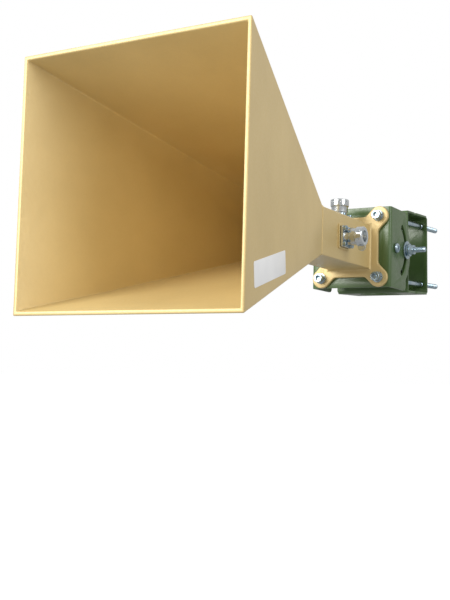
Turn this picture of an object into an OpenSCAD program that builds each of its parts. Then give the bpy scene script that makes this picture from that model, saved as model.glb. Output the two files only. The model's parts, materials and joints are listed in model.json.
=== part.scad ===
// Square horn antenna with two coaxial ports on a folded mast bracket.
// The mast axis is Z, the horn looks along -Y, and the origin is on the mast
// axis at the middle of the clamp. The tilt head turns about the pivot, along X.

/* [Flare] */
// Outside width and height of the square mouth
aperture = 208; // [150:1:250]
// Length of the flare along its axis
flare_length = 292; // [200:1:400]
// Wall of the flare, measured across the axis
flare_wall = 3.5; // [2.5:0.1:4]

/* [Square guide] */
// Outside width and height of the square guide
guide_outer = 48; // [44:1:60]
// Wall of the guide
guide_wall = 4; // [3:0.1:5]
// Length from the throat to the front face of the flange
guide_length = 122; // [118:1:160]
// Radius of the guide's long outside edges
guide_edge_r = 1.2; // [0.5:0.1:3]
// Thickness of the shorting plug behind the top port
short_thickness = 9; // [4:1:14]
// Distance from the top port's axis to the shorting plug
short_distance = 19; // [14:1:22]
// Thickness of the plate that isolates the two ports
septum_t = 1; // [0.6:0.1:2]
// Length of that plate
septum_length = 18; // [12:1:24]

/* [Flange] */
// Thickness of the flange plate
flange_t = 4; // [3:0.5:8]
// Radius of the fillet between guide and flange
flange_fillet = 3; // [1:0.5:5]
// Distance from the guide's side to a flange screw's axis
screw_offset = 9.3; // [9.3:0.1:16]
// Outside radius of the four lobes
lobe_r = 10.4; // [8:0.1:13]
// Depth of the hollow edge between two lobes
edge_hollow = 11; // [6:0.5:12]

/* [Ports] */
// Distance from the throat to the side port's axis
side_port_from_throat = 50; // [30:1:52]
// Distance from the throat to the top port's axis
top_port_from_throat = 94; // [90:1:97]
// Width of the raised square pad under a port
pad_w = 25; // [22:0.5:27]
// Height of the pad
pad_h = 1.5; // [0.5:0.1:3]
// Width of the port's square foot
foot_w = 21.5; // [21.5:0.5:24]
// Thickness of the foot
foot_t = 2.5; // [1.5:0.1:4]
// Thickness of the gasket under the foot
gasket_t = 0.8; // [0.5:0.1:1.5]
// Distance between two screws of a port
port_screw_pitch = 16; // [15.6:0.1:16]
// Diameter and length of the neck above the foot
neck_d = 16.4; // [14:0.1:16.4]
neck_l = 5; // [4:0.5:8]
// Diameter and length of the barrel
barrel_d = 17.6; // [15.9:0.1:18]
barrel_l = 6; // [4:0.5:10]
// Diameter and length of the front collar
collar_d = 19.6; // [18.5:0.1:22]
collar_l = 8; // [6:0.5:12]
// Diameter and depth of the socket in the collar
socket_d = 11.6; // [8:0.1:13]
socket_depth = 9; // [6:0.5:12]
// Diameter of the insulator
insulator_d = 8; // [5:0.1:9]
// Diameter of the centre contact, and its reach inside the guide
contact_d = 3; // [2:0.1:3.5]
probe_reach = 11; // [8:0.5:12]

/* [Label] */
// Length, height and thickness of the bare label
label_l = 108; // [60:1:115]
label_h = 19; // [10:0.5:24]
label_t = 0.4; // [0.2:0.1:1]
// Distance of its middle from the mouth, and below the axis
label_from_mouth = 77; // [70:1:110]
label_below_axis = 64; // [50:1:68]
// Slope of the label against the axis
label_slope = 12; // [0:1:15]

/* [Bracket sheet] */
// Thickness of the folded sheet
sheet_t = 2.5; // [2:0.1:3]
// Inside radius of the folds
fold_r = 0.8; // [0.5:0.1:2]
// Width of the tilt bracket beyond the flange, each side
web_margin = 2.3; // [1:0.1:6]
// Gap between sheets that slide on each other
slide_gap = 0.3; // [0.25:0.05:0.6]

/* [Tilt head] */
// Upward tilt of the horn as it stands
tilt = 3; // [-20:1:20]
// Largest tilt that the slots allow, each way
tilt_limit = 50; // [20:1:50]
// Distance from the tilt bracket's front face to the pivot
pivot_to_face = 15.4; // [15:0.1:20]
// Distance from the pivot to the straight rear edges of the ears
ear_depth = 32.5; // [30:0.5:36]
// Radius of the ear's round part, about the pivot
ear_r = 45.4; // [43:0.1:50]
// Radius of the slot's centre line, about the pivot
slot_r = 31.5; // [30:0.1:33]

/* [Mast side] */
// Outside diameter of the mast
mast_d = 48.3; // [42:0.1:60]
// Clearance of the saddles on the mast's radius
saddle_gap = 0.1; // [0:0.05:0.3]
// Gap between the mast bracket's web and the mast
web_gap = 0.85; // [0.3:0.05:3]
// Gap between the rear clamp's web and the mast
rear_gap = 13; // [10:0.5:20]
// Height of the clamp beyond the tilt bracket, each end
clamp_margin = 2.8; // [2:0.1:6]
// Gap between the two clamp halves at the saddles
halves_gap = 2; // [1:0.1:4]
// Distance from the mast bracket's web to the pivot
pivot_to_web = 44.5; // [44:0.5:52]
// Radius of the mast bracket's ear about the pivot
nose_r = 11; // [9:0.1:11]
// Half height of that ear where it meets the web
ear_root = 28; // [20:1:29]
// Distance of a clamp bolt's axis from the inner face of the ear
clamp_bolt_in = 5.7; // [5.7:0.1:7]
// Distance of a clamp bolt's axis from the clamp's top or bottom
clamp_bolt_edge = 12.1; // [12:0.1:14]
// Length of the clamp bolts
clamp_bolt_l = 120; // [110:5:140]

/* [Hardware] */
// Diameter of all bracket bolts
bolt_d = 6; // [5:1:6]
// Clearance of a bolt in its hole, on the radius
bolt_gap = 0.3; // [0.2:0.05:0.4]
// Running clearance of the pivot bolts in the tilt bracket, on the radius
pivot_gap = 0.05; // [0.02:0.01:0.1]
// Width across the flats of nuts and bolt heads
hex_af = 10; // [9:0.5:10]
// Height of a nut, and of a bolt's hexagon head
nut_h = 5; // [4:0.5:6]
hex_head_h = 4; // [3:0.5:4]
// Diameter and height of a flange screw's head
cap_d = 10; // [9:0.5:10]
cap_h = 6; // [4:0.5:8]
// Shank length of a flange screw
cap_screw_l = 20; // [18:1:22]
// Diameter and thickness of a flat washer
washer_d = 12; // [11:0.5:12]
washer_t = 1.6; // [1:0.1:2]
// Outside diameter and thickness of a spring washer
spring_d = 11.4; // [10:0.1:11.4]
spring_t = 1.6; // [1:0.1:2]
// Diameter of the large washers over the slots
large_washer_d = 20; // [18:0.5:22]
// Diameter and height of the pivot bolt's round head
button_d = 10.5; // [9:0.5:12]
button_h = 3.3; // [2:0.1:4]
// Length of a lock bolt under its head
lock_bolt_l = 28; // [26:1:34]
// Diameter of the rim on a lock nut
lock_rim_d = 14.2; // [12:0.1:16]
// Diameter, head diameter and head height of a port screw
port_screw_d = 3; // [2:0.5:3]
port_cap_d = 5.4; // [4:0.1:5.4]
port_cap_h = 3; // [2:0.1:4]
// Shank length of a port screw
port_screw_l = 8; // [7:0.5:8]

/* [Hidden] */
$fn = 64;
eps = 0.01;
far = 1000;

// Small clearances between pieces that are pushed or screwed together
seat_gap = 0.05;
tap_gap = 0.05;
contact_gap = 0.02;
screw_gap = 0.2;
// Step where an arc meets a line, so that the two cross and don't just touch
end_step = 0.04;
// Depth to which a hexagon's corners are turned down
corner_cut = 0.3;
// Threaded shank that shows beyond a nut
nut_show = 2;

// The guide, inside
guide_inner = guide_outer - 2 * guide_wall;
guide_corner_r = 0.5;
// A port's levels above the guide's outer side
foot_z = pad_h + gasket_t;
neck_z = foot_z + foot_t;
barrel_z = neck_z + neck_l;
collar_z = barrel_z + barrel_l;
port_front_z = collar_z + collar_l;
socket_floor_z = port_front_z - socket_depth;
// Corners of a port's pad, and of its foot and gasket
pad_corner_r = 2;
foot_corner_r = 1.5;
// The flange and its screws
screw_pitch = guide_outer + 2 * screw_offset;
flange_w = screw_pitch + 2 * lobe_r;
// Places along the horn's axis, from the pivot: the horn looks along -Y
flange_back_y = -pivot_to_face;
flange_front_y = flange_back_y - flange_t;
throat_y = flange_front_y - guide_length;
mouth_y = throat_y - flare_length;
flare_angle = atan((aperture - guide_outer) / 2 / flare_length);
// The brackets
bracket_w = flange_w + 2 * web_margin;
bracket_h = flange_w;
outer_fold = fold_r + sheet_t;
clamp_w = bracket_w - 2 * sheet_t - 2 * slide_gap;
clamp_h = bracket_h + 2 * clamp_margin;
mast_r = mast_d / 2;
front_web_y = -(mast_r + web_gap + sheet_t);
rear_web_y = mast_r + rear_gap + sheet_t;
pivot_y = front_web_y - pivot_to_web;
ear_inner_x = clamp_w / 2 - sheet_t;
clamp_bolt_x = ear_inner_x - clamp_bolt_in;
clamp_bolt_z = clamp_h / 2 - clamp_bolt_edge;
slot_angle = tilt_limit + 2;
// Outer face of the tilt bracket's ear, from the mast bracket's inner face
ear_stack = bracket_w / 2 - ear_inner_x;
bolt_hole_d = bolt_d + 2 * bolt_gap;
// The washers' own holes
washer_hole_d = bolt_d + 2 * screw_gap;

SIDES = [-1, 1];

// ---- plain shapes ----------------------------------------------------

// Rectangle with round corners, drawn from true arcs
module round_rect(w, h, r) {
    square([w - 2 * r, h], center = true);
    square([w, h - 2 * r], center = true);
    for (x = SIDES, y = SIDES)
        translate([x * (w / 2 - r), y * (h / 2 - r)]) circle(r = r);
}

// Hexagonal prism standing on Z = 0, flats facing along X
module hex_prism(af, h) {
    rotate([0, 0, 30]) cylinder(d = af / cos(30), h = h, $fn = 6);
}

// Flat ring standing on Z = 0
module ring(outer, inner, h) {
    difference() {
        cylinder(d = outer, h = h);
        translate([0, 0, -1]) cylinder(d = inner, h = h + 2);
    }
}

// Spring washer: a ring with a narrow cut
module split_ring(outer, inner, h) {
    cut = 0.8;
    difference() {
        ring(outer, inner, h);
        translate([0, -cut / 2, -1]) cube([outer, cut, h + 2]);
    }
}

// Hexagon on Z = 0, its corners turned down to a round outline
module turned_hexagon(af, h) {
    intersection() {
        hex_prism(af, h);
        chamfered_disc(af / cos(30) - corner_cut, h, 2 * corner_cut);
    }
}

module hex_nut(af, h, hole) {
    difference() {
        turned_hexagon(af, h);
        translate([0, 0, -1]) cylinder(d = hole, h = h + 2);
    }
}

// Hexagon head bolt: the head's seat is Z = 0, the shank leads up
module hex_bolt(l) {
    tip_chamfer = 0.8;
    translate([0, 0, -hex_head_h]) turned_hexagon(hex_af, hex_head_h);
    translate([0, 0, -eps]) chamfered_disc(bolt_d, l + eps, tip_chamfer);
}

// Disc with both rims turned off at 45 degrees
module chamfered_disc(d, h, c) {
    rotate_extrude()
        polygon([[0, 0], [d / 2 - c, 0], [d / 2, c], [d / 2, h - c], [d / 2 - c, h], [0, h]]);
}

// Disc with its upper rim rounded
module rounded_cap(d, h, r) {
    rotate_extrude() {
        square([d / 2, h - r]);
        square([d / 2 - r, h]);
        intersection() {
            translate([d / 2 - r, h - r]) circle(r = r);
            square([d / 2, h]);
        }
    }
}

// Socket head screw: the head stands on Z = 0, the shank goes down
module cap_screw(d, l, head_d, head_h, key_af) {
    difference() {
        union() {
            rounded_cap(head_d, head_h, head_h * 0.12);
            translate([0, 0, -l]) cylinder(d = d, h = l + eps);
        }
        translate([0, 0, head_h / 2]) hex_prism(key_af, head_h);
    }
}

// Square pyramid stump along -Y, from a width at near_y to a width at far_y
module square_taper(near_y, near_w, far_y, far_w) {
    side = [[-near_w / 2, near_y], [near_w / 2, near_y], [far_w / 2, far_y], [-far_w / 2, far_y]];
    reach = max(near_w, far_w);
    intersection() {
        linear_extrude(reach + 2, center = true) polygon(side);
        rotate([0, 90, 0]) linear_extrude(reach + 2, center = true)
            polygon([for (p = side) [p[0], p[1]]]);
    }
}

// ---- placing ---------------------------------------------------------

// Puts a piece of the tilt head where the head stands
module head() {
    translate([0, pivot_y, 0]) rotate([-tilt, 0, 0]) children();
}

// Ports on the guide: Z = 0 is the guide's outer side, and +Z leads out of it
module on_side() {
    translate([guide_outer / 2, throat_y + side_port_from_throat, 0])
        rotate([0, 90, 0]) children();
}

module on_top() {
    translate([0, throat_y + top_port_from_throat, guide_outer / 2]) children();
}

module side_port() {
    head() on_side() children();
}

module top_port() {
    head() on_top() children();
}

module port_screw_places() {
    for (x = SIDES, y = SIDES)
        translate([x * port_screw_pitch / 2, y * port_screw_pitch / 2, 0]) children();
}

// Flange screws: +Z leads from the flange's front face towards the mouth
module flange_screw_places() {
    head() for (x = SIDES, z = SIDES)
        translate([x * screw_pitch / 2, flange_front_y, z * screw_pitch / 2])
            rotate([90, 0, 0]) children();
}

// Clamp bolts: +Z leads from the mast bracket towards the rear
module clamp_bolt_places() {
    for (x = SIDES, z = SIDES)
        translate([x * clamp_bolt_x, 0, z * clamp_bolt_z]) rotate([-90, 0, 0]) children();
}

// Pivot and lock bolts: +Z leads outwards, Z = 0 is the ear's inner face
module ear_places(y) {
    for (side = SIDES)
        translate([side * ear_inner_x, y, 0]) rotate([0, side * 90, 0]) children();
}

// ---- horn ------------------------------------------------------------

module horn_body() {
    color("burlywood") head() difference() {
        union() {
            square_taper(mouth_y, aperture, throat_y, guide_outer);
            guide_shape();
            flange_fillet_shape();
            flange_plate();
            on_side() port_pad();
            on_top() port_pad();
        }
        flare_hollow();
        guide_hollow();
        on_side() port_hole();
        on_top() port_hole();
        flange_holes();
    }
}

module guide_shape() {
    translate([0, flange_back_y, 0]) rotate([90, 0, 0])
        linear_extrude(flange_back_y - throat_y)
            round_rect(guide_outer, guide_outer, guide_edge_r);
}

// Hollow fillet all round the guide where it meets the flange
module flange_fillet_shape() {
    intersection() {
        linear_extrude(guide_outer + 2 * flange_fillet + 1, center = true) fillet_outline();
        rotate([0, 90, 0]) linear_extrude(guide_outer + 2 * flange_fillet + 1, center = true)
            fillet_outline();
    }
}

module fillet_outline() {
    difference() {
        translate([-guide_outer / 2 - flange_fillet, flange_front_y - flange_fillet])
            square([guide_outer + 2 * flange_fillet, flange_fillet + 1]);
        for (x = SIDES)
            translate([x * (guide_outer / 2 + flange_fillet), flange_front_y - flange_fillet])
                circle(r = flange_fillet);
    }
}

// Plate with a round lobe at each screw and hollow edges between
module flange_plate() {
    translate([0, flange_back_y, 0]) rotate([90, 0, 0]) linear_extrude(flange_t) flange_outline();
}

module flange_outline() {
    waist = flange_w - 2 * edge_hollow;
    // Just inside the place where a 45 degree line touches a lobe
    far_side = screw_pitch / 2 + lobe_r * sqrt(0.5);
    near_side = screw_pitch / 2 - lobe_r * sqrt(0.5) + 5 * end_step;
    for (x = SIDES, y = SIDES)
        translate([x * screw_pitch / 2, y * screw_pitch / 2]) circle(r = lobe_r);
    difference() {
        union() {
            square([2 * far_side, 2 * near_side], center = true);
            square([2 * near_side, 2 * far_side], center = true);
            square(screw_pitch, center = true);
        }
        for (a = [0:90:270]) rotate(a) edge_hollow_outline(waist);
    }
}

// One hollow between two lobes: a straight floor, round corners, and ends that
// slope at 45 degrees and touch the lobes
module edge_hollow_outline(waist) {
    corner_r = 6;
    half_floor = waist / 2 + corner_r - (corner_r + lobe_r - end_step) * sqrt(2);
    translate([waist / 2, -half_floor]) square([flange_w, 2 * half_floor]);
    for (s = SIDES) {
        translate([waist / 2 + corner_r, s * half_floor]) circle(r = corner_r - end_step / 2);
        translate([waist / 2 + corner_r, s * half_floor]) rotate(s * 45)
            translate([0, -corner_r]) square([flange_w, 2 * corner_r]);
    }
}

module port_pad() {
    translate([0, 0, -1]) linear_extrude(pad_h + 1) round_rect(pad_w, pad_w, pad_corner_r);
}

module flare_hollow() {
    square_taper(mouth_y - eps, aperture - 2 * flare_wall, throat_y, guide_inner);
}

module guide_hollow() {
    translate([0, 1, 0]) rotate([90, 0, 0]) linear_extrude(1 - throat_y + eps)
        round_rect(guide_inner, guide_inner, guide_corner_r);
}

module port_hole() {
    screw_depth = port_screw_l - foot_t - gasket_t + 0.2;
    translate([0, 0, -guide_wall - 1])
        cylinder(d = insulator_d + 2 * seat_gap, h = guide_wall + pad_h + 2);
    port_screw_places() translate([0, 0, pad_h - screw_depth])
        cylinder(d = port_screw_d + 2 * tap_gap, h = screw_depth + 1);
}

module flange_holes() {
    for (x = SIDES, z = SIDES)
        translate([x * screw_pitch / 2, flange_back_y + 1, z * screw_pitch / 2])
            rotate([90, 0, 0]) cylinder(d = bolt_hole_d, h = flange_t + 2);
}

// Plug that closes the guide behind the top port
module back_short() {
    w = guide_inner - 2 * seat_gap;
    start_y = throat_y + top_port_from_throat + short_distance;
    color("silver") head() translate([0, start_y + short_thickness, 0]) rotate([90, 0, 0])
        linear_extrude(short_thickness) round_rect(w, w, guide_corner_r);
}

// Thin plate across the guide, which only the side port's signal sees
module isolation_septum() {
    mid_y = throat_y + (side_port_from_throat + top_port_from_throat) / 2;
    color("silver") head() translate([0, mid_y, 0])
        cube([guide_inner - 2 * seat_gap, septum_length, septum_t], center = true);
}

// Bare label, laid on the side of the flare
module label_plate() {
    corner_r = 2;
    color("white") head() translate([aperture / 2, mouth_y, 0]) rotate([0, 0, flare_angle])
        translate([0, label_from_mouth, -label_below_axis]) rotate([label_slope, 0, 0])
            rotate([90, 0, 90]) linear_extrude(label_t) round_rect(label_l, label_h, corner_r);
}

// ---- ports -----------------------------------------------------------

module port_gasket() {
    translate([0, 0, pad_h]) difference() {
        linear_extrude(gasket_t) round_rect(foot_w, foot_w, foot_corner_r);
        translate([0, 0, -1]) cylinder(d = insulator_d + 2, h = gasket_t + 2);
        port_screw_places() translate([0, 0, -1])
            cylinder(d = port_screw_d + 2 * screw_gap, h = gasket_t + 2);
    }
}

module port_jack() {
    barrel_chamfer = 0.5;
    collar_chamfer = 0.7;
    difference() {
        union() {
            translate([0, 0, foot_z]) linear_extrude(foot_t)
                round_rect(foot_w, foot_w, foot_corner_r);
            translate([0, 0, neck_z - eps]) cylinder(d = neck_d, h = neck_l + 2 * eps);
            translate([0, 0, barrel_z]) chamfered_disc(barrel_d, barrel_l + 1, barrel_chamfer);
            translate([0, 0, collar_z]) chamfered_disc(collar_d, collar_l, collar_chamfer);
        }
        translate([0, 0, foot_z - 1])
            cylinder(d = insulator_d + 2 * seat_gap, h = port_front_z);
        translate([0, 0, socket_floor_z]) cylinder(d = socket_d, h = socket_depth + 1);
        port_screw_places() translate([0, 0, foot_z - 1])
            cylinder(d = port_screw_d + 2 * screw_gap, h = foot_t + 2);
        collar_dimples();
    }
}

// Ring of small blind holes round the collar, for a pin spanner
module collar_dimples() {
    hole_d = 1.6;
    hole_depth = 1.2;
    from_front = 3;
    for (a = [0:45:315])
        rotate([0, 0, a + 22.5])
            translate([collar_d / 2 - hole_depth, 0, port_front_z - from_front])
                rotate([0, 90, 0]) cylinder(d = hole_d, h = hole_depth + 1, $fn = 24);
}

// Round tab under the collar, one piece with it
module collar_tab() {
    tab_r = 4.1;
    tab_t = 1.6;
    translate([collar_d / 2 + 1, tab_t / 2, port_front_z - tab_r + 1]) rotate([90, 0, 0])
        cylinder(r = tab_r, h = tab_t);
}

module port_insulator() {
    disc_t = 2;
    difference() {
        union() {
            translate([0, 0, -guide_wall]) cylinder(d = insulator_d, h = guide_wall + socket_floor_z);
            translate([0, 0, socket_floor_z])
                cylinder(d = socket_d - 2 * seat_gap, h = disc_t);
        }
        translate([0, 0, -guide_wall - 1])
            cylinder(d = contact_d + 2 * contact_gap, h = guide_wall + socket_floor_z + disc_t + 2);
    }
}

module port_contact() {
    tip_below_front = 2;
    tip_chamfer = 0.4;
    base_z = -guide_wall - probe_reach;
    translate([0, 0, base_z])
        chamfered_disc(contact_d, port_front_z - tip_below_front - base_z, tip_chamfer);
}

module port_screws() {
    key_af = port_cap_d * 0.45;
    port_screw_places() translate([0, 0, neck_z])
        cap_screw(port_screw_d, port_screw_l, port_cap_d, port_cap_h, key_af);
}

module side_gasket() { color("dimgray") side_port() port_gasket(); }
module side_insulator() { color("white") side_port() port_insulator(); }
module side_contact() { color("gold") side_port() port_contact(); }
module side_screws() { color("lightsteelblue") side_port() port_screws(); }
module side_jack() {
    color("silver") side_port() difference() {
        union() {
            port_jack();
            collar_tab();
        }
        translate([0, 0, socket_floor_z])
            cylinder(d = socket_d, h = socket_depth + 2);
    }
}

module top_gasket() { color("dimgray") top_port() port_gasket(); }
module top_insulator() { color("white") top_port() port_insulator(); }
module top_contact() { color("gold") top_port() port_contact(); }
module top_screws() { color("lightsteelblue") top_port() port_screws(); }
module top_jack() { color("silver") top_port() port_jack(); }

// ---- flange hardware -------------------------------------------------

module flange_washers() {
    color("lightsteelblue") {
        flange_screw_places() ring(washer_d, washer_hole_d, washer_t);
        flange_screw_places() translate([0, 0, -flange_t - sheet_t - washer_t])
            ring(washer_d, washer_hole_d, washer_t);
    }
}

module flange_spring_washers() {
    color("lightsteelblue") flange_screw_places() translate([0, 0, washer_t])
        split_ring(spring_d, washer_hole_d, spring_t);
}

module flange_screws() {
    key_af = bolt_d * 0.83;
    color("lightsteelblue") flange_screw_places() translate([0, 0, washer_t + spring_t])
        cap_screw(bolt_d, cap_screw_l, cap_d, cap_h, key_af);
}

module flange_nuts() {
    color("lightsteelblue") flange_screw_places()
        translate([0, 0, -flange_t - sheet_t - washer_t - nut_h])
            hex_nut(hex_af, nut_h, bolt_d + 2 * contact_gap);
}

// ---- tilt bracket ----------------------------------------------------

// Section of a folded channel: web along X, ears leading along +Y
module channel_outline(w, depth) {
    difference() {
        fold_outline(w, depth, outer_fold);
        translate([0, sheet_t]) fold_outline(w - 2 * sheet_t, depth, fold_r);
    }
}

module fold_outline(w, depth, r) {
    translate([-w / 2 + r, 0]) square([w - 2 * r, depth]);
    translate([-w / 2, r]) square([w, depth - r]);
    for (x = SIDES) translate([x * (w / 2 - r), r]) circle(r = r);
}

// Draws an outline of the Y-Z plane through the whole width
module side_view() {
    rotate([90, 0, 90]) linear_extrude(far, center = true) children();
}

module tilt_bracket() {
    color("darkolivegreen") head() difference() {
        intersection() {
            translate([0, flange_back_y, 0])
                linear_extrude(bracket_h, center = true)
                    channel_outline(bracket_w, pivot_to_face + ear_r + 1);
            side_view() tilt_ear_outline();
        }
        flange_holes_in_web();
        rotate([0, 90, 0]) cylinder(r = bolt_d / 2 + pivot_gap, h = far, center = true);
        side_view() arc_slot(slot_r, bolt_hole_d, slot_angle);
    }
}

module tilt_ear_outline() {
    corner = 5;
    depth = pivot_to_face + ear_depth;
    translate([flange_back_y, -bracket_h / 2]) square([depth - corner, bracket_h]);
    translate([flange_back_y + depth / 2, 0]) round_rect(depth, bracket_h, corner);
    intersection() {
        circle(r = ear_r);
        translate([0, -bracket_h / 2 + corner]) square([ear_r, bracket_h - 2 * corner]);
    }
}

module flange_holes_in_web() {
    for (x = SIDES, z = SIDES)
        translate([x * screw_pitch / 2, flange_back_y + sheet_t + 1, z * screw_pitch / 2])
            rotate([90, 0, 0]) cylinder(d = bolt_hole_d, h = sheet_t + 2);
}

// Slot along an arc about the origin, from -angle to +angle
module arc_slot(r, w, angle) {
    difference() {
        circle(r = r + w / 2);
        circle(r = r - w / 2);
        translate([-far, -far]) square([far, 2 * far]);
        for (s = SIDES)
            rotate(s * angle) translate([0, s > 0 ? 0 : -far]) square([far, far]);
    }
    // The end is a hair narrower than the slot, so that its arc crosses the cut
    for (s = SIDES) rotate(s * angle) translate([r, 0]) circle(d = w - end_step);
}

// ---- mast side -------------------------------------------------------

module mast_bracket() {
    color("darkolivegreen") difference() {
        union() {
            intersection() {
                translate([0, front_web_y + sheet_t, 0]) rotate([0, 0, 180])
                    linear_extrude(clamp_h, center = true)
                        channel_outline(clamp_w, pivot_to_web + sheet_t + nose_r);
                side_view() mast_ear_outline();
            }
            saddle_half(-front_web_y - halves_gap / 2, -1);
        }
        mast_hole();
        clamp_holes();
        ear_holes();
    }
}

// Ear of the mast bracket: round nose at the pivot, wide root at the web
module mast_ear_outline() {
    translate([pivot_y, 0]) circle(r = nose_r);
    polygon([[pivot_y, nose_r], [pivot_y, -nose_r],
        [front_web_y + sheet_t, -ear_root], [front_web_y + sheet_t, ear_root]]);
}

// Web with a top and a bottom flange that lead to the mast
module saddle_half(depth, side) {
    corner = 4;
    start_y = side < 0 ? front_web_y : rear_web_y;
    turn = side < 0 ? 0 : 180;
    intersection() {
        translate([0, start_y, 0]) rotate([0, 0, turn]) rotate([0, 90, 0])
            linear_extrude(clamp_w, center = true) channel_outline(clamp_h, depth);
        union() {
            translate([0, start_y, 0]) rotate([0, 0, turn]) rotate([90, 0, 180])
                linear_extrude(2 * outer_fold, center = true)
                    round_rect(clamp_w, clamp_h, corner);
            translate([0, start_y, 0]) rotate([0, 0, turn])
                linear_extrude(far, center = true) translate([0, depth / 2])
                    round_rect(clamp_w, depth, corner);
        }
    }
}

module mast_hole() {
    cylinder(r = mast_r + saddle_gap, h = far, center = true);
}

module clamp_holes() {
    for (x = SIDES, z = SIDES)
        translate([x * clamp_bolt_x, 0, z * clamp_bolt_z]) rotate([90, 0, 0])
            cylinder(d = bolt_hole_d, h = far, center = true);
}

module ear_holes() {
    for (y = [pivot_y, pivot_y + slot_r])
        translate([0, y, 0]) rotate([0, 90, 0])
            cylinder(r = bolt_d / 2 + pivot_gap, h = far, center = true);
}

module rear_clamp() {
    color("darkolivegreen") difference() {
        saddle_half(rear_web_y - halves_gap / 2, 1);
        mast_hole();
        clamp_holes();
    }
}

// ---- pivot and lock hardware -----------------------------------------

module pivot_bolts() {
    shank_l = ear_stack + slide_gap + nut_h + nut_show;
    crown_r = button_h * 0.7;
    key_af = bolt_d * 0.66;
    color("lightsteelblue") ear_places(pivot_y) translate([0, 0, ear_stack + slide_gap])
        difference() {
            union() {
                rounded_cap(button_d, button_h, crown_r);
                translate([0, 0, -shank_l]) cylinder(d = bolt_d, h = shank_l + eps);
            }
            translate([0, 0, button_h * 0.4]) hex_prism(key_af, button_h);
        }
}

module pivot_nuts() {
    color("lightsteelblue") ear_places(pivot_y) translate([0, 0, -nut_h])
        hex_nut(hex_af, nut_h, bolt_d + 2 * contact_gap);
}

module lock_bolts() {
    color("lightsteelblue") ear_places(pivot_y + slot_r) hex_bolt(lock_bolt_l);
}

module lock_washers() {
    color("lightsteelblue") ear_places(pivot_y + slot_r)
        translate([0, 0, ear_stack + slide_gap]) ring(large_washer_d, washer_hole_d, washer_t);
}

module lock_spring_washers() {
    color("lightsteelblue") ear_places(pivot_y + slot_r)
        translate([0, 0, ear_stack + slide_gap + washer_t])
            split_ring(spring_d, washer_hole_d, spring_t);
}

module lock_nuts() {
    rim_h = 1.5;
    color("lightsteelblue") ear_places(pivot_y + slot_r)
        translate([0, 0, ear_stack + slide_gap + washer_t + spring_t]) {
            ring(lock_rim_d, bolt_d + 2 * contact_gap, rim_h);
            hex_nut(hex_af, nut_h + rim_h, bolt_d + 2 * contact_gap);
        }
}

// ---- clamp hardware --------------------------------------------------

module clamp_bolts() {
    color("lightsteelblue") clamp_bolt_places() translate([0, 0, front_web_y])
        hex_bolt(clamp_bolt_l);
}

module clamp_washers() {
    color("lightsteelblue") clamp_bolt_places() translate([0, 0, rear_web_y])
        ring(washer_d, washer_hole_d, washer_t);
}

module clamp_spring_washers() {
    color("lightsteelblue") clamp_bolt_places() translate([0, 0, rear_web_y + washer_t])
        split_ring(spring_d, washer_hole_d, spring_t);
}

module clamp_nuts() {
    color("lightsteelblue") clamp_bolt_places()
        translate([0, 0, rear_web_y + washer_t + spring_t])
            hex_nut(hex_af, nut_h, bolt_d + 2 * contact_gap);
}

horn_body();
back_short();
isolation_septum();
label_plate();
side_gasket();
side_jack();
side_insulator();
side_contact();
side_screws();
top_gasket();
top_jack();
top_insulator();
top_contact();
top_screws();
flange_screws();
flange_spring_washers();
flange_washers();
flange_nuts();
tilt_bracket();
mast_bracket();
rear_clamp();
pivot_bolts();
pivot_nuts();
lock_bolts();
lock_washers();
lock_spring_washers();
lock_nuts();
clamp_bolts();
clamp_washers();
clamp_spring_washers();
clamp_nuts();
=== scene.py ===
# Square horn antenna on its tilting mast bracket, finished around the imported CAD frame.
import json
import math
import bmesh
import bpy
from mathutils import Matrix, Vector


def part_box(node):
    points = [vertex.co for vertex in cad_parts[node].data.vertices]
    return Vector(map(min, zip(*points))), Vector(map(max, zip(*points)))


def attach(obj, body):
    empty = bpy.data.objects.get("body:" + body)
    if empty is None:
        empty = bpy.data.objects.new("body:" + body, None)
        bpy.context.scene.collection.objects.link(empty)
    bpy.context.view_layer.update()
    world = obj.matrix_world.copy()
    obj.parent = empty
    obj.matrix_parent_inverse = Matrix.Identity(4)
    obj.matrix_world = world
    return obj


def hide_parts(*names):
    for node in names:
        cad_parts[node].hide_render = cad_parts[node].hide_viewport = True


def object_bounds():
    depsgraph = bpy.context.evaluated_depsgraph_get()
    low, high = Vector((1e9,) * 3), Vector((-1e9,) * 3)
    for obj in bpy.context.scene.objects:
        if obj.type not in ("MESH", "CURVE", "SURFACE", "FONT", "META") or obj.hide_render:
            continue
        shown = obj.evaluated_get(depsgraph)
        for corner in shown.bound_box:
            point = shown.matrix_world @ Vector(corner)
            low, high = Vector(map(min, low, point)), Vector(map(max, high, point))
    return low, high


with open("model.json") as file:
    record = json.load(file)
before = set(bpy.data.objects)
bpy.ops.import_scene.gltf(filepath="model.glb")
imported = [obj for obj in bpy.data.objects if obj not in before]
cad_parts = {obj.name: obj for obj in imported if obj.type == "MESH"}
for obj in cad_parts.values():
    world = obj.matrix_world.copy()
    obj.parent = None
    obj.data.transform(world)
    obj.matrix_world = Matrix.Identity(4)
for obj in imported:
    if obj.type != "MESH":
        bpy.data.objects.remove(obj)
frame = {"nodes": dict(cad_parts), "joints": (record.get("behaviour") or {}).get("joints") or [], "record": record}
cad_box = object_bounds()
nodes = frame["nodes"]
record = frame["record"]
bpy.ops.object.select_all(action="DESELECT")


# ---- Studio -----------------------------------------------------------------
# A pale plain floor, a soft white room, a large soft light in front on the left
# and a weaker one on the right. The camera stands low at the horn's right.
MM = 0.001
scene = bpy.context.scene
scene.view_settings.view_transform = "Standard"
scene.view_settings.look = "None"

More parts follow.
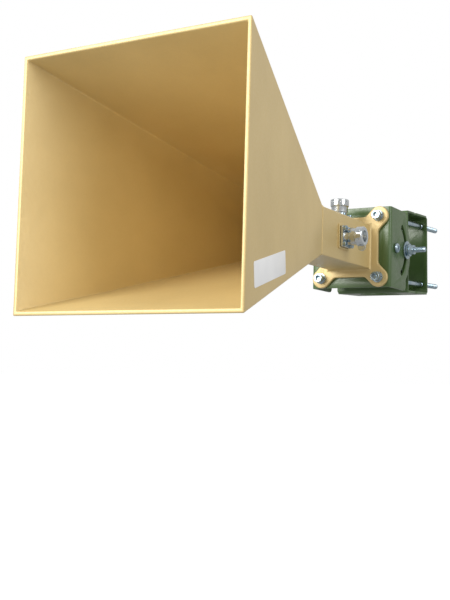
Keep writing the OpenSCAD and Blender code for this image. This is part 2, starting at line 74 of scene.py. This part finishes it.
bpy.ops.mesh.primitive_plane_add(size=30, location=(0, 0, cad_box[0].z - 0.8))
floor = bpy.context.object
floor.name = "studio_floor"
floor_paint = bpy.data.materials.new("studio_floor_paint")
floor_paint.use_nodes = True
floor_shader = floor_paint.node_tree.nodes["Principled BSDF"]
floor_shader.inputs["Base Color"].default_value = (0.9, 0.9, 0.9, 1)
floor_shader.inputs["Roughness"].default_value = 0.8
floor_shader.inputs["Emission Color"].default_value = (1, 1, 1, 1)
floor_shader.inputs["Emission Strength"].default_value = 0.42
floor.data.materials.append(floor_paint)
floor.visible_diffuse = False
floor.visible_glossy = False

room = bpy.data.worlds.new("white_room")
room.use_nodes = True
scene.world = room
wall = room.node_tree.nodes["Background"]
sight = room.node_tree.nodes.new("ShaderNodeLightPath")
place = room.node_tree.nodes.new("ShaderNodeTexCoord")
split = room.node_tree.nodes.new("ShaderNodeSeparateXYZ")
height = room.node_tree.nodes.new("ShaderNodeMapRange")
height.inputs["From Min"].default_value = -0.7
height.inputs["From Max"].default_value = 0.9
height.inputs["To Min"].default_value = 0.45
height.inputs["To Max"].default_value = 0.75
pick = room.node_tree.nodes.new("ShaderNodeMix")
pick.inputs["B"].default_value = 1.0
room.node_tree.links.new(place.outputs["Generated"], split.inputs["Vector"])
room.node_tree.links.new(split.outputs["Z"], height.inputs["Value"])
room.node_tree.links.new(height.outputs["Result"], pick.inputs["A"])
room.node_tree.links.new(sight.outputs["Is Camera Ray"], pick.inputs["Factor"])
room.node_tree.links.new(pick.outputs["Result"], wall.inputs["Strength"])
wall.inputs["Color"].default_value = (1, 1, 1, 1)


def soft_light(name, at, towards, width, height, watts, tint=(1, 1, 1)):
    lamp = bpy.data.lights.new(name, "AREA")
    lamp.shape = "RECTANGLE"
    lamp.size = width
    lamp.size_y = height
    lamp.energy = watts
    lamp.color = tint
    stand = bpy.data.objects.new(name, lamp)
    scene.collection.objects.link(stand)
    stand.location = at
    stand.rotation_mode = "QUATERNION"
    stand.rotation_quaternion = (Vector(towards) - Vector(at)).to_track_quat("-Z", "Y")


soft_light("front_light", (-1.1, -2.4, 1.0), (0, -0.25, 0), 1.8, 1.6, 84, (1, 0.985, 0.96))
soft_light("right_light", (2.2, -0.9, 0.9), (0, -0.2, 0), 0.9, 1.6, 20)

lens = bpy.data.cameras.new("camera")
lens.lens = 59.99
lens.sensor_width = 36
camera = bpy.data.objects.new("camera", lens)
scene.collection.objects.link(camera)
turn, rise, roll = math.radians(30.47), math.radians(-2.172), math.radians(0.081)
back = Vector((math.sin(turn) * math.cos(rise), -math.cos(turn) * math.cos(rise), math.sin(rise)))
camera.location = (0.43528, -1.09921, -0.09781)
camera.rotation_mode = "QUATERNION"
level_view = (-back).to_track_quat("-Z", "Y").to_matrix()
camera.rotation_quaternion = (level_view @ Matrix.Rotation(roll, 3, "Z")).to_quaternion()
scene.camera = camera


# ---- Mast bracket -------------------------------------------------------------
# A steel sheet cut and folded into a channel, with saddles for the mast and two
# ears for the pivot. Its cut edges are tumbled and it is coated in olive green.
def material_tree(name):
    material = bpy.data.materials.new(name)
    material.use_nodes = True
    tree = material.node_tree
    return material, tree, tree.nodes["Principled BSDF"]


def noise_value(tree, scale, detail=4.0, stretch=(1, 1, 1)):
    place = tree.nodes.new("ShaderNodeTexCoord")
    turn = tree.nodes.new("ShaderNodeMapping")
    turn.inputs["Scale"].default_value = stretch
    noise = tree.nodes.new("ShaderNodeTexNoise")
    noise.inputs["Scale"].default_value = scale
    noise.inputs["Detail"].default_value = detail
    tree.links.new(place.outputs["Object"], turn.inputs["Vector"])
    tree.links.new(turn.outputs["Vector"], noise.inputs["Vector"])
    return noise.outputs["Fac"]


def spread(tree, value, low, high, start=0.3, end=0.7):
    if isinstance(low, tuple):
        ramp = tree.nodes.new("ShaderNodeValToRGB")
        ramp.color_ramp.elements[0].position = start
        ramp.color_ramp.elements[1].position = end
        ramp.color_ramp.elements[0].color = (*low, 1)
        ramp.color_ramp.elements[1].color = (*high, 1)
        tree.links.new(value, ramp.inputs["Fac"])
        return ramp.outputs["Color"]
    step = tree.nodes.new("ShaderNodeMapRange")
    step.inputs["From Min"].default_value = start
    step.inputs["From Max"].default_value = end
    step.inputs["To Min"].default_value = low
    step.inputs["To Max"].default_value = high
    tree.links.new(value, step.inputs["Value"])
    return step.outputs["Result"]


def raise_surface(tree, shader, value, strength, distance):
    bump = tree.nodes.new("ShaderNodeBump")
    bump.inputs["Strength"].default_value = strength
    bump.inputs["Distance"].default_value = distance
    tree.links.new(value, bump.inputs["Height"])
    tree.links.new(bump.outputs["Normal"], shader.inputs["Normal"])


def mottle(tree, shader, scale, dark, light, detail=3, stretch=(1, 1, 1)):
    """Drifts a finish's colour between two tones."""
    tone = spread(tree, noise_value(tree, scale, detail, stretch), dark, light)
    tree.links.new(tone, shader.inputs["Base Color"])


def sheen(tree, shader, scale, smoothest, roughest, detail=3, stretch=(1, 1, 1)):
    """Drifts a finish's roughness between two values."""
    rough = spread(tree, noise_value(tree, scale, detail, stretch), smoothest, roughest)
    tree.links.new(rough, shader.inputs["Roughness"])


green_paint, tree, shader = material_tree("olive_green_coating")
mottle(tree, shader, 26, (0.044, 0.094, 0.018), (0.060, 0.118, 0.028))
sheen(tree, shader, 420, 0.34, 0.46)
raise_surface(tree, shader, noise_value(tree, 900, 2), 0.10, 0.0004)
shader.inputs["Specular IOR Level"].default_value = 0.7
shader.inputs["Coat Weight"].default_value = 0.06
shader.inputs["Coat Roughness"].default_value = 0.2


def only(piece):
    bpy.ops.object.select_all(action="DESELECT")
    piece.select_set(True)
    bpy.context.view_layer.objects.active = piece


def solid_copy(node, name):
    piece = nodes[node].copy()
    piece.data = nodes[node].data.copy()
    for key in list(piece.keys()):
        del piece[key]
    piece.parent = None
    piece.name = name
    scene.collection.objects.link(piece)
    only(piece)
    bpy.ops.mesh.customdata_custom_splitnormals_clear()
    bpy.ops.object.mode_set(mode="EDIT")
    bpy.ops.mesh.select_all(action="SELECT")
    bpy.ops.mesh.remove_doubles(threshold=2e-6)
    bpy.ops.mesh.dissolve_limited(angle_limit=math.radians(0.6))
    bpy.ops.object.mode_set(mode="OBJECT")
    return piece


def round_edges(piece, width, steps=2, share=lambda edge: 1.0):
    shape = bmesh.new()
    shape.from_mesh(piece.data)
    weight = shape.edges.layers.float.new("bevel_weight_edge")
    for edge in shape.edges:
        if len(edge.link_faces) == 2 and edge.calc_face_angle(0) > math.radians(32):
            edge[weight] = share(edge)
    shape.to_mesh(piece.data)
    shape.free()
    bevel = piece.modifiers.new("round_edges", "BEVEL")
    bevel.width = width
    bevel.segments = steps
    bevel.limit_method = "WEIGHT"
    bevel.use_clamp_overlap = False
    only(piece)
    bpy.ops.object.modifier_apply(modifier="round_edges")


def put_in_place(piece, node, material):
    only(piece)
    bpy.ops.object.shade_smooth_by_angle(angle=math.radians(38))
    piece.data.materials.clear()
    piece.data.materials.append(material)
    body = [b for b, members in record["behaviour"]["bodies"].items() if node in members][0]
    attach(piece, body)
    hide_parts(node)


def clear_of_ear_roots(edge):
    low, high = nodes_box["mast_bracket"]
    for corner in edge.verts:
        if abs(corner.co.x) > high.x - 4 * MM and abs(abs(corner.co.z) - 27 * MM) < 4 * MM:
            return 0.0
    return 1.0


nodes_box = {node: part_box(node) for node in nodes}
mast_bracket = solid_copy("mast_bracket", "mast_bracket_coated")
round_edges(mast_bracket, 0.45 * MM, share=clear_of_ear_roots)
put_in_place(mast_bracket, "mast_bracket", green_paint)


# ---- Rear clamp -----------------------------------------------------------------
# The second half of the clamp: a steel sheet folded into a shallow channel, with
# half-round saddles that press the mast against the mast bracket. Same coating.
rear_clamp = solid_copy("rear_clamp", "rear_clamp_coated")
round_edges(rear_clamp, 0.45 * MM)
put_in_place(rear_clamp, "rear_clamp", green_paint)


# ---- Tilt bracket ---------------------------------------------------------------
# A folded steel channel behind the flange. Its ears turn on the pivot bolts, and
# the lock bolts slide in their arc slots. Blanked, folded and coated olive green.
tilt_bracket = solid_copy("tilt_bracket", "tilt_bracket_coated")
round_edges(tilt_bracket, 0.45 * MM)
put_in_place(tilt_bracket, "tilt_bracket", green_paint)


# ---- Horn -----------------------------------------------------------------------
# Flare, square guide and flange are aluminium, welded into one piece, ground at the
# mouth and sprayed in a satin tan. A weld bead runs round the guide at the throat.
tan_paint, tree, shader = material_tree("satin_tan_paint")
mottle(tree, shader, 14, (0.590, 0.442, 0.188), (0.655, 0.498, 0.220), detail=5)
sheen(tree, shader, 500, 0.42, 0.56)
raise_surface(tree, shader, noise_value(tree, 1500, 2), 0.12, 0.0003)
shader.inputs["Metallic"].default_value = 0.25
shader.inputs["Coat Weight"].default_value = 0.45
shader.inputs["Coat Roughness"].default_value = 0.45

pivot = Vector(frame["joints"][0]["pos_m"])
up = Vector([mount["axis"] for mount in record["mounts"] if mount["name"] == "top_port"][0])
ahead = Vector((0, up.z, -up.y))


def on_head(point):
    step = point - pivot
    return Vector((step.x, step.dot(ahead), step.dot(up)))


def off_head(x, y, z):
    return pivot + Vector((x, 0, 0)) + ahead * y + up * z


mouth_y = min(on_head(v.co).y for v in nodes["horn_body"].data.vertices)
flange_back_y = max(on_head(v.co).y for v in nodes["horn_body"].data.vertices)
flange_thickness, guide_length = 4 * MM, 122 * MM
flange_front_y = flange_back_y - flange_thickness
throat_y = flange_front_y - guide_length
guide_half = 24 * MM
pad_level = guide_half + 1.5 * MM
lobe_start = 27.5 * MM


def both_at(first, second, level, reach=0.2 * MM):
    return abs(first - level) + abs(second - level) < reach


def horn_edge(edge):
    """How much of the full radius an edge of the horn gets."""
    a, b = [on_head(v.co) for v in edge.verts]
    first_y, last_y = min(a.y, b.y), max(a.y, b.y)
    past_waist = min(max(abs(a.x), abs(a.z)), max(abs(b.x), abs(b.z))) > lobe_start
    at_mouth = last_y < mouth_y + MM
    along_flare = first_y < mouth_y + MM and abs(last_y - throat_y) < MM
    if at_mouth or along_flare:
        return 1.0
    if past_waist and both_at(a.y, b.y, flange_front_y):
        return 0.75
    if past_waist and both_at(a.y, b.y, flange_back_y):
        return 0.4
    if both_at(a.x, b.x, pad_level, 0.1 * MM) or both_at(a.z, b.z, pad_level, 0.1 * MM):
        return 0.33
    return 0.0


horn = solid_copy("horn_body", "horn_painted")
round_edges(horn, 1.2 * MM, 3, share=horn_edge)

# The bead: a square loop of round section, laid in the corner between flare and guide
bpy.ops.object.select_all(action="DESELECT")
bpy.ops.mesh.primitive_plane_add(size=2 * guide_half)
bead = bpy.context.object
bpy.ops.object.mode_set(mode="EDIT")
bpy.ops.mesh.select_all(action="SELECT")
bpy.ops.mesh.bevel(offset=1.2 * MM, segments=4, affect="VERTICES")
bpy.ops.mesh.delete(type="ONLY_FACE")
bpy.ops.object.mode_set(mode="OBJECT")
bpy.ops.object.convert(target="CURVE")
bead.data.bevel_depth = 0.9 * MM
bead.data.bevel_resolution = 3
bpy.ops.object.convert(target="MESH")
bead = bpy.context.object
for v in bead.data.vertices:
    v.co = off_head(v.co.x, throat_y + v.co.z, v.co.y)
bpy.ops.object.mode_set(mode="EDIT")
bpy.ops.mesh.select_all(action="SELECT")
bpy.ops.mesh.normals_make_consistent(inside=False)
bpy.ops.object.mode_set(mode="OBJECT")
only(horn)
bead.select_set(True)
bpy.ops.object.join()
put_in_place(horn, "horn_body", tan_paint)


# ---- Bolts and screws -----------------------------------------------------------
# Steel, cold headed, with rolled metric threads, and plated in bright blue zinc.
# One shank with its thread is made at the middle and copied into each place.
zinc, tree, shader = material_tree("blue_zinc_plating")
mottle(tree, shader, 160, (0.26, 0.37, 0.44), (0.50, 0.58, 0.63))
sheen(tree, shader, 700, 0.22, 0.36)
raise_surface(tree, shader, noise_value(tree, 1200, 2), 0.06, 0.0003)
shader.inputs["Metallic"].default_value = 1.0

thread_pitch = 1.0 * MM
thread_r = 2.99 * MM
root_r = 2.55 * MM


def threaded_end(name, turns):
    """A helical thread from Z = 0 upwards, closed at both ends."""
    bpy.ops.object.select_all(action="DESELECT")
    bpy.ops.mesh.primitive_plane_add(size=thread_pitch)
    thread = bpy.context.object
    thread.name = name
    shape = bmesh.new()
    shape.from_mesh(thread.data)
    shape.faces.ensure_lookup_table()
    bmesh.ops.delete(shape, geom=shape.faces[:], context="FACES_ONLY")
    corners = sorted(shape.verts, key=lambda v: (v.co.y, v.co.x if v.co.y < 0 else -v.co.x))
    for corner, (r, z) in zip(corners, ((root_r, 0), (thread_r, 0.42), (thread_r, 0.58), (root_r, 1))):
        corner.co = (r, 0, z * thread_pitch)
    for edge in list(shape.edges):
        ends = {corners.index(v) for v in edge.verts}
        if max(ends) - min(ends) > 1:
            shape.edges.remove(edge)
    for k in range(3):
        if shape.edges.get((corners[k], corners[k + 1])) is None:
            shape.edges.new((corners[k], corners[k + 1]))
    shape.to_mesh(thread.data)
    shape.free()
    turning = thread.modifiers.new("turning", "SCREW")
    turning.axis = "Z"
    turning.screw_offset = thread_pitch
    turning.iterations = turns
    turning.steps = turning.render_steps = 20
    turning.use_merge_vertices = True
    turning.merge_threshold = 0.02 * MM
    only(thread)
    bpy.ops.object.modifier_apply(modifier="turning")
    bpy.ops.object.mode_set(mode="EDIT")
    bpy.ops.mesh.select_all(action="SELECT")
    bpy.ops.mesh.remove_doubles(threshold=0.01 * MM)
    bpy.ops.mesh.select_all(action="DESELECT")
    bpy.ops.mesh.select_non_manifold()
    bpy.ops.mesh.edge_face_add()
    bpy.ops.mesh.select_all(action="SELECT")
    bpy.ops.mesh.normals_make_consistent(inside=False)
    bpy.ops.object.mode_set(mode="OBJECT")
    return thread


def stretch_of(node):
    """The separate bolts, nuts or washers of a node, each as its lowest and highest corner."""
    part = solid_copy(node, "measured")
    bpy.ops.object.mode_set(mode="EDIT")
    bpy.ops.mesh.select_all(action="SELECT")
    bpy.ops.mesh.separate(type="LOOSE")
    bpy.ops.object.mode_set(mode="OBJECT")
    found = []
    for one in list(bpy.context.selected_objects):
        at = [v.co for v in one.data.vertices]
        low = Vector([min(c[k] for c in at) for k in range(3)])
        high = Vector([max(c[k] for c in at) for k in range(3)])
        found.append((low, high))
        bpy.data.objects.remove(one)
    return found


def cut_off(piece, point, direction):
    """Takes away all of a piece beyond a plane, and closes the cut."""
    only(piece)
    bpy.ops.object.mode_set(mode="EDIT")
    bpy.ops.mesh.select_all(action="SELECT")
    bpy.ops.mesh.bisect(plane_co=point, plane_no=direction, use_fill=True, clear_outer=True)
    bpy.ops.object.mode_set(mode="OBJECT")


def copy_of(piece):
    one = piece.copy()
    one.data = piece.data.copy()
    scene.collection.objects.link(one)
    return one


def join_to(piece, others):
    only(piece)
    for one in others:
        one.select_set(True)
    bpy.ops.object.join()


# Clamp bolts: hexagon heads in front, threaded over the last 60 mm behind the clamp
clamp_thread, clamp_tip = 60 * MM, 3 * MM
clamp_bolts = solid_copy("clamp_bolts", "clamp_bolts_plated")
round_edges(clamp_bolts, 0.2 * MM)
thread = threaded_end("bolt_thread", 58)
threads = []
for low, high in stretch_of("clamp_bolts"):
    one = copy_of(thread)
    middle = (low + high) / 2
    for v in one.data.vertices:
        v.co = Vector((middle.x + v.co.x, high.y - clamp_thread + v.co.z, middle.z - v.co.y))
    threads.append(one)
bolt_end = nodes_box["clamp_bolts"][1].y
cut_off(clamp_bolts, (0, bolt_end - (clamp_thread - 2 * MM), 0), (0, 1, 0))
tips = solid_copy("clamp_bolts", "tips")
cut_off(tips, (0, bolt_end - clamp_tip, 0), (0, -1, 0))
join_to(clamp_bolts, [*threads, tips])
put_in_place(clamp_bolts, "clamp_bolts", zinc)
bpy.data.objects.remove(thread)

# Lock bolts: threaded from the outer face of the ear to the tip
lock_thread, lock_tip = 20 * MM, 2.5 * MM
lock_bolts = solid_copy("lock_bolts", "lock_bolts_plated")
round_edges(lock_bolts, 0.2 * MM)
thread = threaded_end("bolt_thread", 18)
threads = []
for low, high in stretch_of("lock_bolts"):
    side = 1 if high.x > 0 else -1
    bolt_end = high.x if side > 0 else -low.x
    middle = (low + high) / 2
    one = copy_of(thread)
    for v in one.data.vertices:
        along = side * bolt_end - side * (lock_thread - v.co.z)
        v.co = Vector((along, middle.y + v.co.x, middle.z + side * v.co.y))
    threads.append(one)
bolt_end = nodes_box["lock_bolts"][1].x
tips = []
for side in (1, -1):
    tip = solid_copy("lock_bolts", "tip")
    cut_off(tip, (side * (bolt_end - lock_tip), 0, 0), (-side, 0, 0))
    tips.append(tip)
plain_end = bolt_end - (lock_thread - MM)
cut_off(lock_bolts, (plain_end, 0, 0), (1, 0, 0))
cut_off(lock_bolts, (-plain_end, 0, 0), (-1, 0, 0))
join_to(lock_bolts, [*threads, *tips])
put_in_place(lock_bolts, "lock_bolts", zinc)
bpy.data.objects.remove(thread)


# ---- Plain bolts, nuts and washers -------------------------------------------------
# Button head pivot bolts, socket screws, nuts, flat and spring washers: steel, with
# the small radii that stamping, cold forming and barrel plating leave on every edge.
for node in ("pivot_bolts", "pivot_nuts", "lock_washers", "lock_spring_washers", "lock_nuts",
             "clamp_washers", "clamp_spring_washers", "clamp_nuts",
             "flange_screws", "flange_spring_washers", "flange_washers", "flange_nuts"):
    part = solid_copy(node, node + "_plated")
    round_edges(part, 0.2 * MM)
    put_in_place(part, node, zinc)
for node in ("side_screws", "top_screws"):
    part = solid_copy(node, node + "_plated")
    round_edges(part, 0.12 * MM)
    put_in_place(part, node, zinc)


# ---- Coaxial ports ---------------------------------------------------------------
# Turned brass jacks, nickel plated: a square foot on a rubber gasket, a waisted neck,
# a barrel and a collar with blind holes for a pin spanner. White insulators carry the
# plated centre contacts, and four small screws hold each foot.
nickel, tree, shader = material_tree("turned_nickel")
mottle(tree, shader, 160, (0.48, 0.51, 0.52), (0.68, 0.71, 0.72))
sheen(tree, shader, 700, 0.14, 0.28)
raise_surface(tree, shader, noise_value(tree, 1500, 2), 0.05, 0.0002)
shader.inputs["Metallic"].default_value = 1.0
for node in ("side_jack", "top_jack"):
    jack = solid_copy(node, node + "_nickel")
    round_edges(jack, 0.15 * MM)
    put_in_place(jack, node, nickel)

insulator_white, tree, shader = material_tree("white_insulator")
mottle(tree, shader, 240, (0.78, 0.77, 0.74), (0.86, 0.85, 0.82))
sheen(tree, shader, 700, 0.42, 0.55, detail=2)
contact_plate, tree, shader = material_tree("plated_contact")
mottle(tree, shader, 300, (0.78, 0.72, 0.58), (0.88, 0.83, 0.70))
sheen(tree, shader, 900, 0.12, 0.24, detail=2)
shader.inputs["Metallic"].default_value = 1.0
gasket_rubber, tree, shader = material_tree("gasket_rubber")
mottle(tree, shader, 400, (0.018, 0.018, 0.018), (0.035, 0.034, 0.032), detail=4)
sheen(tree, shader, 900, 0.65, 0.8, detail=2)
milled = (1, 12, 1)
bare_aluminium, tree, shader = material_tree("milled_aluminium")
mottle(tree, shader, 300, (0.62, 0.62, 0.62), (0.74, 0.74, 0.75), stretch=milled)
sheen(tree, shader, 500, 0.3, 0.45, stretch=milled)
shader.inputs["Metallic"].default_value = 1.0
for node, material, slot_name, width in (
        ("side_gasket", gasket_rubber, "gasket_rubber", 0.1),
        ("top_gasket", gasket_rubber, "gasket_rubber", 0.1),
        ("side_insulator", insulator_white, "white_insulator", 0.15),
        ("top_insulator", insulator_white, "white_insulator", 0.15),
        ("side_contact", contact_plate, "contact_metal", 0.15),
        ("top_contact", contact_plate, "contact_metal", 0.15),
        ("back_short", bare_aluminium, "bare_aluminium", 0.2),
        ("isolation_septum", bare_aluminium, "bare_aluminium", 0.2)):
    part = solid_copy(node, node + "_finished")
    round_edges(part, width * MM)
    put_in_place(part, node, material)


# ---- Label -----------------------------------------------------------------------
# A bare white film label, die cut with round corners and stuck on the flare's side.
label_film, tree, shader = material_tree("white_label_film")
mottle(tree, shader, 45, (0.82, 0.82, 0.82), (0.88, 0.88, 0.87), detail=4)
sheen(tree, shader, 700, 0.35, 0.48, detail=2)
raise_surface(tree, shader, noise_value(tree, 260, 2), 0.05, 0.0002)
label = solid_copy("label_plate", "label_film")
round_edges(label, 0.12 * MM)
put_in_place(label, "label_plate", label_film)
